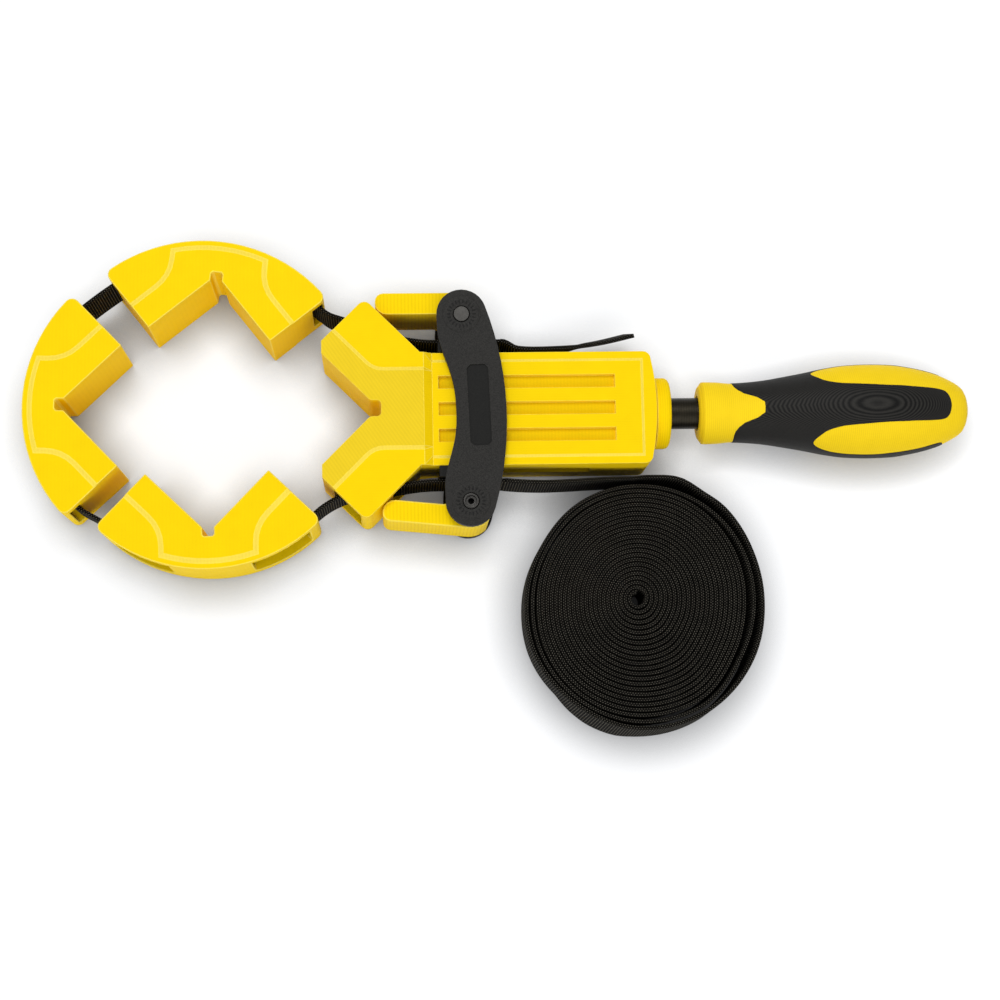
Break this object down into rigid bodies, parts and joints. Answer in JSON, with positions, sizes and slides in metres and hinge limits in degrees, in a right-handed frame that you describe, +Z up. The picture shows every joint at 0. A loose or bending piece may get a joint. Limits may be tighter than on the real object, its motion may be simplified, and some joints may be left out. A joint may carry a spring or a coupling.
{
  "type": "band clamp",
  "caption": "Band clamp: webbing band strung through loose corner jaws and a V head, drawn tight by a screw handle that slides a yoke with cam-lever locks, spare band rolled into a coil.",
  "frame": {"origin": "middle of the head's flat underside, in the plane of the screw axis, on the bench", "axes": "+X along the screw from the head to the handle, +Z up from the bench, +Y to the left of +X"},
  "size_m": [0.3671, 0.1902, 0.0398],
  "materials": {
    "yellow_plastic": "satin moulded",
    "dark_plastic": "fine grain",
    "grip_rubber": "soft matt",
    "webbing": "ribbed weave",
    "steel": "zinc plated",
    "black_steel": "blackened",
    "nut_metal": "die cast"
  },
  "bodies": {
    "frame": {"body_upper_shell": "yellow_plastic", "body_lower_shell": "yellow_plastic", "assembly_screw_1": "steel", "assembly_screw_2": "steel", "assembly_screw_3": "steel", "assembly_screw_4": "steel", "end_collar": "yellow_plastic", "thrust_washer_front": "steel", "thrust_washer_rear": "steel", "strap_loop": "webbing"},
    "screw": {"screw_spindle": "black_steel", "handle_core": "yellow_plastic", "handle_grip": "grip_rubber"},
    "yoke": {"crosshead_nut": "nut_metal", "anvil_upper": "dark_plastic", "anvil_lower": "dark_plastic", "yoke_upper_plate": "dark_plastic", "yoke_lower_plate": "dark_plastic", "cam_pin_upper": "steel", "cam_pin_lower": "steel", "pin_spacer_upper_top": "steel", "pin_spacer_upper_bottom": "steel", "pin_spacer_lower_top": "steel", "pin_spacer_lower_bottom": "steel", "strap_run_upper": "webbing", "strap_run_lower": "webbing", "strap_tail": "webbing", "strap_lead": "webbing", "strap_coil": "webbing"},
    "upper_lever": {"cam_lever_upper": "yellow_plastic"},
    "lower_lever": {"cam_lever_lower": "yellow_plastic"},
    "top_jaw": {"jaw_top": "yellow_plastic"},
    "left_jaw": {"jaw_left": "yellow_plastic"},
    "bottom_jaw": {"jaw_bottom": "yellow_plastic"}
  },
  "joints": [
    {"name": "handle_turn", "type": "hinge", "parent": "frame", "child": "screw", "pos_m": [0, 0, 0.01975], "axis": [1, 0, 0], "range_deg": [0, 5040.5]},
    {"name": "yoke_travel", "type": "slide", "parent": "frame", "child": "yoke", "axis": [1, 0, 0], "range_m": [0, 0.042], "deforming": ["strap_run_upper", "strap_run_lower"]},
    {"name": "upper_lever_hinge", "type": "hinge", "parent": "yoke", "child": "upper_lever", "pos_m": [0.024, 0.03628, 0.02], "axis": [0, 0, -1], "range_deg": [0, 90]},
    {"name": "lower_lever_hinge", "type": "hinge", "parent": "yoke", "child": "lower_lever", "pos_m": [0.0265, -0.03628, 0.02], "axis": [0, 0, 1], "range_deg": [0, 90]},
    {"name": "top_jaw_slide", "type": "hinge", "parent": "frame", "child": "top_jaw", "pos_m": [-0.07544, 0.00568, 0.0195], "axis": [0, 0, 1], "range_deg": [-2.4, 2.8]},
    {"name": "left_jaw_slide", "type": "hinge", "parent": "frame", "child": "left_jaw", "pos_m": [-0.08239, 0.00166, 0.0195], "axis": [0, 0, 1], "range_deg": [-2.8, 1.2]},
    {"name": "bottom_jaw_slide", "type": "hinge", "parent": "frame", "child": "bottom_jaw", "pos_m": [-0.07386, 0.0004, 0.0195], "axis": [0, 0, 1], "range_deg": [-2.8, 2.8]}
  ],
  "couplings": [
    {"joint": "handle_turn", "follows": "yoke_travel", "rad_per_m": 2094.4}
  ]
}
